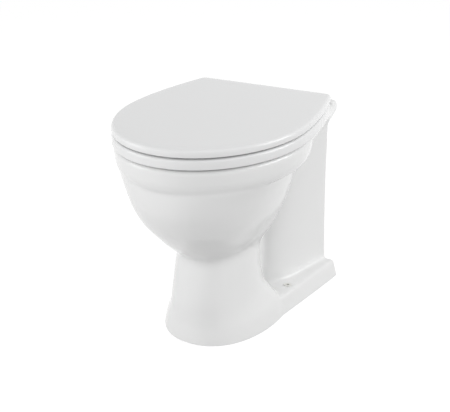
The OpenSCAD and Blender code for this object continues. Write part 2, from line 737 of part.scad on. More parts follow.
module bush(side, x) {
    color(nylon_white) scale_x(side) difference() {
        across(x, lug_w, bush_r);
        across(x, lug_w + 2 * cut, pin_r + pin_gap);
    }
}

module hinge_post(side) {
    bolt_room = hinge_rise - washer_t - pin_r - 2;
    color(plastic_white) scale_x(side) difference() {
        union() {
            translate([bolt_x, from_wall(hinge_d), post_z]) cylinder(r = base_r, h = base_h, $fn = 64);
            hull() {
                across(bolt_x, post_w, knuckle_r);
                translate([bolt_x - post_w / 2, from_wall(hinge_d) - knuckle_r - 2, post_z + 1])
                    cube([post_w, 2 * knuckle_r + 4, base_h]);
            }
        }
        across(bolt_x, post_w + 2 * cut, pin_r + pin_gap);
        translate([bolt_x, from_wall(hinge_d), post_z - cut])
            cylinder(r = bolt_r + pin_gap, h = bolt_room + cut, $fn = 48);
    }
}

module hinge_pin(side) {
    first = seat_lug_x - lug_w / 2 - 1;
    last = lid_lug_x + lug_w / 2 + 1;
    color("silver") scale_x(side) across((first + last) / 2, last - first, pin_r);
}

module seat_bolt(side) {
    top_z = hinge_z - pin_r - 2.5;
    low_z = deck_z - washer_t - nut_h - 12;
    color("silver") scale_x(side) translate([bolt_x, from_wall(hinge_d), low_z])
        cylinder(r = bolt_r, h = top_z - low_z, $fn = 48);
}

module washer(side, z, r) {
    color(rubber_grey) scale_x(side) translate([bolt_x, from_wall(hinge_d), z]) difference() {
        cylinder(r = r, h = washer_t, $fn = 48);
        translate([0, 0, -cut]) cylinder(r = bolt_r + 0.1, h = washer_t + 2 * cut, $fn = 48);
    }
}

module wing_nut(side) {
    place = [bolt_x, from_wall(hinge_d), deck_z - washer_t - nut_h];
    color(nylon_white) scale_x(side) translate(place) difference() {
        union() {
            cylinder(r = bolt_r + 4, h = nut_h, $fn = 48);
            for (turn = [0, 180]) {
                rotate(turn + 90) hull() {
                    translate([bolt_r + 1, -1.5, 1]) cube([1, 3, nut_h - 1]);
                    translate([wing_reach - 2, 0, -4]) cylinder(r = 1.5, h = nut_h, $fn = round_fn);
                }
            }
        }
        translate([0, 0, -cut]) cylinder(r = bolt_r + pin_gap, h = nut_h + 2 * cut, $fn = 48);
    }
}

pan();
floor_sleeve(-1);  // floor_sleeve_left
floor_sleeve(1);  // floor_sleeve_right
seat();
seat_buffer(-1, 0);  // seat_buffer_front_left
seat_buffer(1, 0);  // seat_buffer_front_right
seat_buffer(-1, 1);  // seat_buffer_rear_left
seat_buffer(1, 1);  // seat_buffer_rear_right
bush(-1, seat_lug_x);  // seat_bush_left
bush(1, seat_lug_x);  // seat_bush_right
lid();
lid_buffer(-1);  // lid_buffer_left
lid_buffer(1);  // lid_buffer_right
bush(-1, lid_lug_x);  // lid_bush_left
bush(1, lid_lug_x);  // lid_bush_right
hinge_post(-1);  // hinge_post_left
hinge_post(1);  // hinge_post_right
hinge_pin(-1);  // hinge_pin_left
hinge_pin(1);  // hinge_pin_right
seat_bolt(-1);  // seat_bolt_left
seat_bolt(1);  // seat_bolt_right
washer(-1, rim_h, base_r - 1);  // deck_washer_left
washer(1, rim_h, base_r - 1);  // deck_washer_right
washer(-1, deck_z - washer_t, washer_r);  // under_washer_left
washer(1, deck_z - washer_t, washer_r);  // under_washer_right
wing_nut(-1);  // wing_nut_left
wing_nut(1);  // wing_nut_right
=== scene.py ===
# Back to wall toilet: glazed china pan, gloss seat and lid, and the hinge hardware.
import json
import bpy
import bmesh
from math import cos, sin, pi, radians, copysign
from mathutils import Vector, Matrix


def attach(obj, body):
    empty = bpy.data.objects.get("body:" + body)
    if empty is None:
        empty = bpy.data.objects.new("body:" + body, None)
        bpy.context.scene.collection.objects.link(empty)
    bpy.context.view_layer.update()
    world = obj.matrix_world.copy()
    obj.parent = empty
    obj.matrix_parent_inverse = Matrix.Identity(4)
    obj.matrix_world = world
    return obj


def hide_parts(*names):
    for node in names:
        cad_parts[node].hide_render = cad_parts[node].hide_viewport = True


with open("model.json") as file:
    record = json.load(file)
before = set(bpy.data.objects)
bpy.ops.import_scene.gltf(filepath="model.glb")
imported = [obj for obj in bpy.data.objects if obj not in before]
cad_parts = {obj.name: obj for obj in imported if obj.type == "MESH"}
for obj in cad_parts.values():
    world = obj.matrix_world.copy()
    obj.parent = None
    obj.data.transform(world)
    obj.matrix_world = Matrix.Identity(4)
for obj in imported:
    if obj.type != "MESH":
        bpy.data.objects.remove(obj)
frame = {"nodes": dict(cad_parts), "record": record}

scene = bpy.context.scene
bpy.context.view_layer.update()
mm = 0.001                      # lengths are in millimetres unless a note says metres
wall = 260                      # the wall plane's distance behind the middle
overlap = 1                     # how far joined and cut forms run past each other
# how many sides round forms are drawn with
sides = {"oval": 168, "pipe": 96, "rod": 48, "trap": 48, "trapRoot": 72}

# camera at the photo's viewing angle, its places in metres
view = {"place": (0.78649, -1.51264, 0.95271), "target": (-0.0012, 0.0050, 0.2344),
        "lens": 74.505, "sensor": 36}


def aim(item, place, target):
    item.location = place
    toTarget = Vector(target) - Vector(place)
    item.rotation_euler = toTarget.to_track_quat("-Z", "Y").to_euler()


cameraData = bpy.data.cameras.new("photoCamera")
cameraData.lens, cameraData.sensor_width = view["lens"], view["sensor"]
camera = bpy.data.objects.new("photoCamera", cameraData)
scene.collection.objects.link(camera)
scene.camera = camera
aim(camera, view["place"], view["target"])
print("camera placed")


def mix(a, b, share):
    return a + (b - a) * share


def ease(share):
    # 0 to 1 with a soft start and a soft end
    share = max(0, min(1, share))
    return share * share * (3 - 2 * share)


def steps(first, last, count):
    return [mix(first, last, i / count) for i in range(count + 1)]


def throughRows(rows, value):
    # smooth curve through the rows of a table whose first column rises
    i = max(j for j in range(len(rows) - 1) if rows[j][0] <= value)
    span = rows[i + 1][0] - rows[i][0]
    t = (value - rows[i][0]) / span

    def slope(j, k):
        low, high = max(j - 1, 0), min(j + 1, len(rows) - 1)
        return (rows[high][k] - rows[low][k]) / (rows[high][0] - rows[low][0])

    def column(k):
        between = rows[i][k] * (1 - t) ** 2 * (1 + 2 * t) + rows[i + 1][k] * t * t * (3 - 2 * t)
        return between + span * (slope(i, k) * t * (1 - t) ** 2
                                 - slope(i + 1, k) * t * t * (1 - t))
    return [column(k) for k in range(1, len(rows[0]))]


def oval(halfWidth, widest, front, back, power=2.0):
    # ring seen from above, its places given as distances from the wall
    ring, count = [], sides["oval"]
    for i in range(count):
        c, s = cos(2 * pi * i / count), sin(2 * pi * i / count)
        reach = front - widest if s < 0 else widest - back
        ring.append((halfWidth * copysign(abs(c) ** (2 / power), c),
                     wall - widest + reach * copysign(abs(s) ** (2 / power), s)))
    return ring


def mirrored(half):
    return [(-x, y) for x, y in reversed(half)]


def atHeight(ring, z):
    return [(place[0], place[1], z) for place in ring]


def linked(name, bm):
    mesh = bpy.data.meshes.new(name)
    bm.to_mesh(mesh)
    bm.free()
    made = bpy.data.objects.new(name, mesh)
    scene.collection.objects.link(made)
    return made


def makeObject(name, bm):
    bmesh.ops.triangulate(bm, faces=[face for face in bm.faces if len(face.verts) > 4])
    bmesh.ops.recalc_face_normals(bm, faces=bm.faces)
    return linked(name, bm)


def loft(name, rings):
    # closed skin through rings that have the same number of places
    bm = bmesh.new()
    loops = []
    for ring in rings:
        verts = bmesh.ops.create_circle(bm, segments=len(ring), radius=1)["verts"]
        for vert, place in zip(verts, ring):
            vert.co = Vector(place) * mm
        loops.append([bm.edges.get((verts[i - 1], verts[i])) for i in range(len(verts))])
    for lower, upper in zip(loops, loops[1:]):
        bmesh.ops.bridge_loops(bm, edges=lower + upper)
    for loop in (loops[0], loops[-1]):
        bmesh.ops.contextual_create(bm, geom=loop)
    return makeObject(name, bm)


def stacked(name, outline, levels, base=0):
    # loft of one outline; a level holds a height above the base and what the outline is given
    return loft(name, [atHeight(outline(given), base + z) for z, given in levels])


def rodInto(bm, radius, start, end, count=sides["rod"]):
    start, end = Vector(start) * mm, Vector(end) * mm
    turn = (end - start).to_track_quat("Z", "Y").to_matrix().to_4x4()
    bmesh.ops.create_cone(bm, cap_ends=True, segments=count, radius1=radius * mm,
                          radius2=radius * mm, depth=(end - start).length,
                          matrix=Matrix.Translation((start + end) / 2) @ turn)


def rod(name, radius, start, end, count=sides["rod"]):
    bm = bmesh.new()
    rodInto(bm, radius, start, end, count)
    return makeObject(name, bm)


def blockInto(bm, low, high, cuts=0):
    low, high = Vector(low) * mm, Vector(high) * mm
    size = Matrix.Diagonal((high - low).to_4d())
    size[3][3] = 1
    place = Matrix.Translation((low + high) / 2) @ size
    verts = bmesh.ops.create_cube(bm, size=1, matrix=place)["verts"]
    if cuts:
        bmesh.ops.subdivide_edges(bm, edges=bm.edges[:], cuts=cuts, use_grid_fill=True)
    return verts


def applied(body):
    # the mesh with its modifiers worked in
    layer = bpy.context.view_layer
    layer.update()
    shaped = body.evaluated_get(bpy.context.evaluated_depsgraph_get())
    finishedMesh = bpy.data.meshes.new_from_object(shaped)
    body.modifiers.clear()
    old, body.data = body.data, finishedMesh
    finishedMesh.name = body.name
    bpy.data.meshes.remove(old)
    return body


def carve(body, joined=(), cutters=()):
    # joins and cuts forms one after the other, then clears them away
    for operation, tools in (("UNION", joined), ("DIFFERENCE", cutters)):
        for tool in tools:
            step = body.modifiers.new(operation, "BOOLEAN")
            step.operation, step.solver, step.object = operation, "MANIFOLD", tool
    applied(body)
    for tool in list(joined) + list(cutters):
        bpy.data.objects.remove(tool)
    return body


def smoothLook(body, degrees):
    # edges that turn by more than this stay sharp
    body.data.shade_smooth()
    body.data.set_sharp_from_angle(angle=radians(degrees))
    return body


def printTriangles(piece):
    count = sum(len(face.vertices) - 2 for face in piece.data.polygons)
    print(piece.name + ":", count, "triangles")


# outlines of the lid, the seat, the rim and the deck, seen from above
plan = {"depth": 520, "lidWidth": 360, "widest": 293, "sideCurve": 1.8, "rimSet": 2.5,
        "lidBack": 75, "lidBackWidth": 288, "corner": 12, "leastCorner": 3,
        "earWidth": 260, "earDepth": 93, "tuckFrom": 60, "tuckOver": 60,
        "sideSteps": 26, "cornerSteps": 10, "frontSteps": 96}
rimHalf = plan["lidWidth"] / 2 - plan["rimSet"]
rimFront = plan["depth"] - plan["rimSet"]


def lidHalf(d, inset):
    # half width at a distance d from the wall
    narrowing = (plan["lidWidth"] - plan["lidBackWidth"]) / 2
    backShare = max(0, plan["widest"] - d) / (plan["widest"] - plan["lidBack"])
    return plan["lidWidth"] / 2 - inset - narrowing * backShare ** plan["sideCurve"]


def lidOutline(inset):
    radius = max(plan["corner"] - inset / 2, plan["leastCorner"])
    last = plan["lidBack"] + inset + radius
    side = [(lidHalf(d, inset), wall - d)
            for d in steps(plan["widest"], last, plan["sideSteps"])[:-1]]
    middle = lidHalf(last, inset) - radius
    corner = [(middle + radius * cos(a), wall - last + radius * sin(a))
              for a in steps(0, pi / 2, plan["cornerSteps"])]
    width, reach = plan["lidWidth"] / 2 - inset, plan["depth"] - plan["widest"] - inset
    front = [(-width * cos(a), wall - plan["widest"] - reach * sin(a))
             for a in steps(0, pi, plan["frontSteps"])[1:-1]]
    return side + corner + mirrored(side + corner) + front


def deckHalf(d):
    # the deck widens to ears at the wall
    ear = plan["earWidth"] / 2 - lidHalf(0, plan["rimSet"])
    tuck = ease((d - plan["tuckFrom"]) / plan["tuckOver"])
    return lidHalf(d, plan["rimSet"]) + ear * max(0, 1 - d / plan["earDepth"]) ** 2 - tuck


# levels are pairs of a height and an inset
rim = {"height": 400, "band": 48, "step": 13, "bandBack": 78, "deck": 14, "rise": 4,
       "riseDepth": 26, "riseLean": 1 / 3,
       "bandLevels": [(5, 8), (11, 4.5), (20, 2), (34, 0.6), (44, 0), (46.8, 1.5), (48, 5)],
       "plateLevels": [(-26, 30), (-17, 14), (-10, 5), (-5, 1), (-2, 1.6), (0, 5)],
       "edgeLevels": [(-10, 2), (-4, 2), (-1, 4), (0, 9)]}
# spare is what the forms have below the floor and behind the wall until they are cut there
china = {"voxel": 3.1, "softening": 5, "blending": 42, "neckBlending": 75, "smoothing": 0.5,
         "spare": 16}
deckZ = rim["height"] - rim["deck"]
creaseZ = rim["height"] - rim["band"]


def bandForm():
    def outline(inset):
        return oval(rimHalf - inset, plan["widest"], rimFront - inset, rim["bandBack"] + inset)
    return stacked("band", outline, [(0, rim["step"])] + rim["bandLevels"], creaseZ)


def rimPlateForm():
    return stacked("rimPlate", lambda inset: lidOutline(plan["rimSet"] + inset),
                   rim["plateLevels"], rim["height"])


def deckEdgeForm():
    # raised edge of the deck at the wall
    def outline(inset):
        half = deckHalf(rim["riseDepth"]) - inset
        front = wall - rim["riseDepth"] + inset * rim["riseLean"]
        back, past = plan["earWidth"] / 2 - inset, wall + china["spare"]
        return [(half, front), (back, wall), (back, past),
                (-back, past), (-back, wall), (-half, front)]
    return stacked("deckEdge", outline, rim["edgeLevels"], rim["height"] + rim["rise"])


# rows hold shares of the height, the width and the front; under holds rings below the neck,
# each with its height, what it loses at the sides and in front, and its back
bowl = {"neckZ": 165, "neckWidth": 66, "neckMiddle": 262, "neckFront": 378, "neckBack": 136,
        "back": 143, "topTuck": 7, "power": 2.3, "intoBand": (4, 10), "rings": 30,
        "rows": [[0, 0, 0], [0.16, 0.24, 0.28], [0.35, 0.44, 0.57], [0.53, 0.62, 0.81],
                 [0.72, 0.76, 0.96], [0.88, 0.88, 1], [1, 1, 1]],
        "under": [(-45, 42, 46, 235), (-28, 26, 30, 205), (-12, 10, 14, 172)]}
bowlFront = rimFront - rim["step"]
bowlTop = rimHalf - rim["step"] - bowl["topTuck"]


def bowlRing(share, inset):
    gain = throughRows(bowl["rows"], share)
    return oval(mix(bowl["neckWidth"], bowlTop, gain[0]) - inset,
                mix(bowl["neckMiddle"], plan["widest"], share),
                mix(bowl["neckFront"], bowlFront, gain[1]) - inset,
                mix(bowl["neckBack"], bowl["back"], share) + inset, bowl["power"])


def bowlForm():
    inset, rise = bowl["intoBand"]
    rings = [atHeight(oval(bowl["neckWidth"] - sideInset, bowl["neckMiddle"],
                           bowl["neckFront"] - frontInset, back, bowl["power"]),
                      bowl["neckZ"] + z) for z, sideInset, frontInset, back in bowl["under"]]
    rings += [atHeight(bowlRing(u, 0), mix(bowl["neckZ"], creaseZ, u))
              for u in steps(0, 1, bowl["rings"])]
    return loft("bowl", rings + [atHeight(bowlRing(1, inset), creaseZ + rise)])


shroud = {"width": 111.5, "splay": 7, "slope": 0.24, "depth": 178, "wall": 12, "flare": 47,
          "flareDepth": 245, "underRim": 8, "frontPowers": (6, 3), "hollowFlare": 0.7,
          "heights": [0, 36, 44, 61, 85, 110, 145, 180, 220, 260, 300],
          "topLevels": [(-1.5, 1.5), (0, 5)],
          "hollowHeights": [-30, 20, 36, 70, 110, 180, 260], "hollowPast": 30,
          "sideSteps": 40, "flareRings": 12, "hollowRings": 8}
flareZ = rim["height"] - shroud["underRim"] - shroud["flare"]


def flareShare(z):
    return ease((z - flareZ) / shroud["flare"])


def shroudHalf(d, z):
    splay = shroud["splay"] * max(0, 1 - z / flareZ) ** 2
    return shroud["width"] + splay - shroud["slope"] * d


def shroudOutline(z, flare, inset, past=china["spare"]):
    # it runs past the wall plane, and is cut off there once its edges are soft
    reach = mix(shroud["depth"], shroud["flareDepth"], flare)
    depthPower, widthPower = shroud["frontPowers"]
    half = []
    for t in steps(0, 1, shroud["sideSteps"]):
        u = 1 - t * t * (1.6 - 0.6 * t)     # places lie closer together at the front
        side = mix(shroudHalf(shroud["depth"] * u, z), deckHalf(reach * u), flare)
        rounding = (1 - u ** depthPower) ** (1 / widthPower)
        half.append((rounding * side * (1 - inset / shroud["width"]),
                     wall - reach * u * (1 - inset / reach)))
    half.append((half[-1][0], wall + past))
    return half + mirrored(half[1:])


def shroudForm():
    inFlare = steps(flareZ, flareZ + shroud["flare"], shroud["flareRings"])
    rings = [atHeight(shroudOutline(0, 0, 0), -china["spare"])]
    rings += [atHeight(shroudOutline(z, flareShare(z), 0), z)
              for z in shroud["heights"] + inFlare]
    rings += [atHeight(shroudOutline(flareZ, 1, inset), rim["height"] + z)
              for z, inset in shroud["topLevels"]]
    return loft("shroud", rings)


def shroudHollow():
    heights = shroud["hollowHeights"] + steps(flareZ, deckZ, shroud["hollowRings"])
    rings = [atHeight(shroudOutline(max(z, 0), shroud["hollowFlare"] * flareShare(z),
                                    shroud["wall"], shroud["hollowPast"]), z) for z in heights]
    return loft("shroudHollow", rings)


# rows hold a height, the half width, and how far the widest place, the front and the back
# are from the wall
pedestal = {"rows": [[0, 117, 225, 407, 166], [18, 112.5, 225, 405, 170],
                     [36, 106.5, 229, 402.5, 178], [46, 99, 241, 402.5, 178],
                     [60, 90.5, 259, 402.5, 180], [80, 83.5, 275, 402.5, 185],
                     [120, 78, 281, 395, 193], [165, 75, 282, 382, 196],
                     [195, 66, 281, 371, 207]],
            "power": 2.2, "top": 194, "wall": 13, "rings": 40,
            "hollowStart": -30, "hollowSide": (6, 78), "hollowRings": 12,
            "roofLevels": [(-30, 0), (-20, 12), (-14, 30)]}     # below the sump
waist = {"width": 44, "middle": 190, "front": 280, "back": 100, "power": 4, "top": 300}


def pedestalRing(z, inset):
    half, middle, front, back = throughRows(pedestal["rows"], z)
    ring = oval(half - inset, middle, front - inset, back + inset, pedestal["power"])
    return atHeight(ring, z)


def pedestalForm():
    below = atHeight(pedestalRing(0, 0), -china["spare"])
    rings = [pedestalRing(z, 0) for z in steps(0, pedestal["top"], pedestal["rings"])]
    return loft("pedestal", [below] + rings)


def pedestalHollow():
    inset = pedestal["wall"]
    rings = [atHeight(pedestalRing(0, inset), pedestal["hollowStart"])]
    rings += [pedestalRing(z, inset)
              for z in steps(*pedestal["hollowSide"], pedestal["hollowRings"])]
    rings += [pedestalRing(basin["sumpZ"] + z, inset + more) for z, more in pedestal["roofLevels"]]
    return loft("pedestalHollow", rings)


def waistForm():
    ring = oval(waist["width"], waist["middle"], waist["front"], waist["back"], waist["power"])
    return loft("waist", [atHeight(ring, z) for z in (-china["spare"], waist["top"])])


# the side leans in from the floor to the ledge
foot = {"width": 116, "middle": 225, "front": 405.5, "atWall": 148, "spread": 1.1, "power": 2.1,
        "sideLean": 1.2, "frontLean": 0.6, "sideSteps": 40,
        "levels": [(0, 0), (31.5, 8), (34.6, 9.4), (36, 12.4)]}


def footOutline(inset):
    side = []
    for d in steps(foot["middle"], 0, foot["sideSteps"]):
        share = d / foot["middle"]
        half = foot["atWall"] - (foot["atWall"] - foot["width"]) * share ** foot["spread"]
        side.append((half - inset * mix(1, foot["sideLean"], share), wall - d))
    side.append((side[-1][0], wall + china["spare"]))
    front = oval(foot["width"] - foot["sideLean"] * inset, foot["middle"],
                 foot["front"] - foot["frontLean"] * inset, 0, foot["power"])
    # of the oval only the part in front of the sides
    return side + mirrored(side) + [p for p in front if p[1] < wall - foot["middle"] - overlap]


def plinthForm():
    return stacked("plinth", footOutline, [(-china["spare"], 0)] + foot["levels"])


# channel levels are shares of the channel's height and gaps behind the basin's side
basin = {"wall": 12, "sumpZ": 118, "sumpWidth": 34, "sumpMiddle": 260, "sumpFront": 297,
         "sumpBack": 236, "back": 172, "mouthWidth": 112, "mouthMiddle": 310,
         "mouthFront": 470, "mouthBack": 192, "mouthPower": 2.1, "mouthRadius": 6,
         "mouthFrom": 0.2, "mouthSteps": 6, "abovePlate": 0.2, "wallRings": 16, "rings": 24,
         "channel": 28, "channelLevels": [(0.3, 8), (0.75, 11), (1, 3)],
         "lip": 10, "lipTaper": 2, "lipLow": 4, "lipFull": 8}


def basinRing(share, gap):
    gain = throughRows(bowl["rows"], share)
    ring = oval(mix(basin["sumpWidth"], bowlTop - basin["wall"], gain[0]) + gap / 2,
                mix(basin["sumpMiddle"], plan["widest"], share),
                mix(basin["sumpFront"], bowlFront - basin["wall"], gain[1]) + gap / 2,
                mix(basin["sumpBack"], basin["back"], share) - gap)
    return atHeight(ring, mix(basin["sumpZ"], creaseZ, share) - (gap if share == 0 else 0))


def basinWall():
    top = oval(bowlTop - basin["wall"] / 2, plan["widest"], bowlFront - basin["wall"],
               basin["back"] - basin["wall"])
    rings = [basinRing(u, basin["wall"]) for u in steps(0, 1, basin["wallRings"])]
    return loft("basinWall", rings + [atHeight(top, deckZ + 2 * overlap)])


def mouth(gap):
    return oval(basin["mouthWidth"] + gap, basin["mouthMiddle"], basin["mouthFront"] + gap,
                basin["mouthBack"] - gap, basin["mouthPower"])


def basinSpace():
    # the room in the basin and the rim channel, less the lip that hangs round the mouth
    low, lip, radius = deckZ - basin["channel"], basin["lip"], basin["mouthRadius"]
    rings = [basinRing(u, 0) for u in steps(0, 1, basin["rings"])]
    for share, gap in basin["channelLevels"]:
        ring = oval(bowlTop - basin["wall"] + gap, plan["widest"],
                    bowlFront - basin["wall"] + gap / 2, basin["back"])
        rings.append(atHeight(ring, mix(low, deckZ, share)))
    space = loft("basinSpace", rings)
    lipLevels = [(low + basin["lipLow"], lip - basin["lipTaper"]),
                 (low + basin["lipFull"], lip), (deckZ + overlap, lip)]
    carve(space, cutters=[stacked("lip", mouth, lipLevels)])
    straight = rim["height"] - radius
    mouthLevels = [(low, 0), (straight, 0)]
    mouthLevels += [(straight + radius * sin(a), radius * (1 - cos(a)))
                    for a in steps(basin["mouthFrom"], pi / 2, basin["mouthSteps"])]
    mouthLevels[-1] = (rim["height"] + basin["abovePlate"], mouthLevels[-1][1])
    return carve(space, joined=[stacked("mouth", mouth, mouthLevels)])


# the trap is a bent pipe; root rows hold a distance, a height and a radius of its outlet's root
trap = {"z": 185, "radius": 30, "gain": 5, "wall": 7.5, "bend": 42, "leg": 176, "crest": 218,
        "fall": 45, "rise": 34, "entry": 36, "entryAngle": 45, "bendSteps": 18,
        "outletSteps": 6, "wallOverrun": 3.5, "wallShort": 4,
        "outletRadius": 51, "outletWall": 9, "outletEnd": 35, "collar": 70, "outletRoot": 86,
        "rootRows": [(44, 22, 38), (30, 12, 42), (16, 6, 46), (8, 2.5, 48.7), (0, 0, 50.5),
                     (-5, 0, 50.5)]}
inlet = {"z": 345, "radius": 27.5, "wall": 6.5, "end": 30, "collar": 100, "collarStep": 3,
         "chamber": 141, "chamberGain": 1.5, "chamberDrop": 1, "port": 11, "portReach": 28,
         "portBelow": 15, "portInside": 4}


def trapLine():
    # from the sump round the bend, over the crest and down to the outlet;
    # each place has a distance from the wall, a height and a heading in degrees
    radius, entry, entryAngle, fall = (trap[key] for key in ("bend", "entry", "entryAngle", "fall"))

    def bend(turn, count):
        return [(turn / count, 2 * radius * sin(radians(abs(turn)) / count / 2))] * count
    slopeRun = (trap["crest"] - trap["z"] - 2 * radius * (1 - cos(radians(fall)))) \
        / sin(radians(fall))
    moves = [(0, entry)] + bend(90 + entryAngle, trap["bendSteps"]) + [(0, trap["rise"])]
    moves += bend(-90 - fall, trap["bendSteps"]) + [(0, slopeRun)] + bend(fall, trap["outletSteps"])
    low = trap["crest"] - radius - trap["rise"]
    turned = sin(radians(entryAngle))
    line = [(trap["leg"] + radius + (radius + entry) * turned, low + (entry - radius) * turned,
             -entryAngle)]
    for turn, run in moves:
        d, z, heading = line[-1]
        middle = radians(heading + turn / 2)
        line.append((d - run * cos(middle), z + run * sin(middle), heading + turn))
    return line


def trapForm(name, gap):
    # with a gap it is the china round the water way, which stops short of the outlet
    line = trapLine()
    end = len(line) - trap["wallShort"] if gap else len(line)
    rings = []
    for i, (d, z, heading) in enumerate(line[:end]):
        radius = trap["radius"] + gap + trap["gain"] * i / (len(line) - 1)
        h = radians(heading)
        on = trap["wallOverrun"] if gap and i in (0, end - 1) else 0
        rings.append([(radius * cos(q), wall - d + on * cos(h) + radius * sin(q) * sin(h),
                       z + on * sin(h) - radius * sin(q) * cos(h))
                      for q in steps(0, 2 * pi, sides["trap"])[:-1]])
    return loft(name, rings)


def outletRoot():
    return loft("outletRoot", [[(radius * cos(q), wall - trap["outletRoot"] - d,
                                 trap["z"] + z - radius * sin(q))
                                for q in steps(0, 2 * pi, sides["trapRoot"])[:-1]]
                               for d, z, radius in trap["rootRows"]])


def pipe(name, radius, back, front, z):
    return rod(name, radius, (0, wall - front, z), (0, wall - back, z), sides["pipe"])


def outletForms():
    z, radius = trap["z"], trap["outletRadius"]
    solid = [trapForm("trapWall", trap["wall"]), outletRoot(),
             pipe("spigot", radius, trap["outletEnd"], trap["collar"] + overlap, z),
             pipe("collar", radius + inlet["collarStep"], trap["collar"], trap["outletRoot"], z)]
    space = [trapForm("waterWay", 0),
             pipe("spigotBore", radius - trap["outletWall"], trap["outletEnd"] - overlap,
                  trap["outletRoot"] + 2 * overlap, z)]
    return solid, space


def inletForms():
    z, outside = inlet["z"], inlet["radius"] + inlet["wall"]
    chamber = inlet["radius"] + inlet["chamberGain"]
    low = z - chamber - inlet["wall"] - inlet["chamberDrop"]
    y = wall - inlet["chamber"]
    portY, portZ = y - chamber + inlet["portInside"], deckZ - inlet["portBelow"]
    solid = [pipe("horn", outside, inlet["end"], inlet["collar"] + overlap, z),
             pipe("collar", outside + inlet["collarStep"], inlet["collar"], inlet["chamber"], z),
             rod("chamber", chamber + inlet["wall"], (0, y, low), (0, y, deckZ + overlap),
                 sides["pipe"])]
    space = [pipe("hornBore", inlet["radius"], inlet["end"] - overlap, inlet["chamber"], z),
             rod("chamberBore", chamber, (0, y, low + inlet["wall"]),
                 (0, y, deckZ - 2 * overlap), sides["pipe"]),
             rod("port", inlet["port"], (-inlet["portReach"], portY, portZ),
                 (inlet["portReach"], portY, portZ))]
    return solid, space


def panForm():
    outletSolid, outletSpace = outletForms()
    inletSolid, inletSpace = inletForms()
    body = carve(bowlForm(), joined=[bandForm(), rimPlateForm(), shroudForm(), deckEdgeForm(),
                                     pedestalForm(), waistForm(), plinthForm()],
                 cutters=[pedestalHollow(), shroudHollow()])
    return carve(body, joined=[basinWall()] + outletSolid + inletSolid,
                 cutters=[basinSpace()] + outletSpace + inletSpace)


hinge = {"x": 77.5, "d": 57, "z": 424.5, "bore": 4.1, "knuckle": 7, "post": 14, "lug": 12.4,
         "gap": 0.4, "rootInside": 6, "rootDepth": 3}
holes = {"boltRadius": 8, "boltSpan": (deckZ - 10, 410), "screwRadius": 6.5, "screwX": 97,
         "screwD": 157, "screwSpan": (-1, 48)}
trim = {"reach": 300, "depth": 60, "top": 500, "cuts": 40}
hingeY = wall - hinge["d"]


def panCutters():
    # what lies below the floor and behind the wall, and the holes for bolts and screws
    cutters = []
    reach, depth = trim["reach"], trim["depth"]
    for name, low, high in (
            ("belowFloor", (-reach, -reach, -depth), (reach, reach, 0)),
            ("behindWall", (-reach, wall, -depth), (reach, wall + depth, trim["top"]))):
        bm = bmesh.new()
        blockInto(bm, low, high, trim["cuts"])
        cutters.append(makeObject(name, bm))
    for side in (-1, 1):
        for name, radius, x, y, span in (
                ("boltHole", holes["boltRadius"], hinge["x"], hingeY, holes["boltSpan"]),
                ("screwHole", holes["screwRadius"], holes["screwX"], wall - holes["screwD"],
                 holes["screwSpan"])):
            cutters.append(rod(name, radius, (x * side, y, span[0]), (x * side, y, span[1])))
    return cutters


# how strongly the softening draws each place of the china together; front and neck values
# are distances from the wall
blend = {"belowCrease": 2, "earDrop": 50, "earFrom": 110, "earOver": 80, "fade": 34,
         "frontFrom": 205, "frontOver": 25, "ledgeShares": (0.02, 0.35), "startZ": (58, 34),
         "neckAbove": 6, "neckReach": 36, "neckCore": 1.3, "neckFrom": 178, "neckOver": 20}


def blendShare(d, z):
    # the recesses are drawn together more than the rim and the ledge
    earDrop = blend["earDrop"] * ease((blend["earFrom"] - d) / blend["earOver"])
    top = creaseZ - blend["belowCrease"] - earDrop
    front = ease((d - blend["frontFrom"]) / blend["frontOver"])
    ledgeShare, start = mix(*blend["ledgeShares"], front), mix(*blend["startZ"], front)
    return ease((top - z) / blend["fade"]) * mix(ledgeShare, 1, ease((z - start) / blend["fade"]))


def neckShare(d, z):
    away = abs(z - bowl["neckZ"] - blend["neckAbove"]) / blend["neckReach"]
    return ease(blend["neckCore"] - away) * ease((d - blend["neckFrom"]) / blend["neckOver"])


def soften(body, name, rounds, share=None):
    # smooths the whole form, or each place by its share
    step = body.modifiers.new(name, "SMOOTH")
    step.factor, step.iterations = china["smoothing"], rounds
    if share:
        group = body.vertex_groups.new(name=name)
        for vert in body.data.vertices:
            x, y, z = vert.co / mm
            group.add([vert.index], share(wall - y, z), "REPLACE")
        step.vertex_group = group.name


pan = panForm()
print("pan forms joined:", len(pan.data.polygons), "faces")
glazeSkin = pan.modifiers.new("glazeSkin", "REMESH")
glazeSkin.mode, glazeSkin.voxel_size = "VOXEL", china["voxel"] * mm
applied(pan)
soften(pan, "blend", china["blending"], blendShare)
soften(pan, "neck", china["neckBlending"], neckShare)
soften(pan, "soften", china["softening"])
applied(pan)
carve(pan, cutters=panCutters())

# the pan is two mirrored halves, because one piece would have too many triangles
sharpAngles = {"china": 50, "plastic": 32, "smallPieces": 40}       # degrees
seam = {"cut": 1e-6, "near": 2e-6, "leastLength": 0.2}              # the first two in metres


def rightHalf(body):
    bm = bmesh.new()
    bm.from_mesh(body.data)
    bmesh.ops.bisect_plane(bm, geom=bm.verts[:] + bm.edges[:] + bm.faces[:], plane_co=(0, 0, 0),
                           plane_no=(-1, 0, 0), clear_outer=True, dist=seam["cut"])
    bm.to_mesh(body.data)
    bm.free()
    return smoothLook(body, sharpAngles["china"])


def leftHalf(half):
    bm = bmesh.new()
    bm.from_mesh(half.data)
    bmesh.ops.scale(bm, vec=(-1, 1, 1), verts=bm.verts)
    bmesh.ops.reverse_faces(bm, faces=bm.faces)
    return smoothLook(linked("panLeft", bm), sharpAngles["china"])


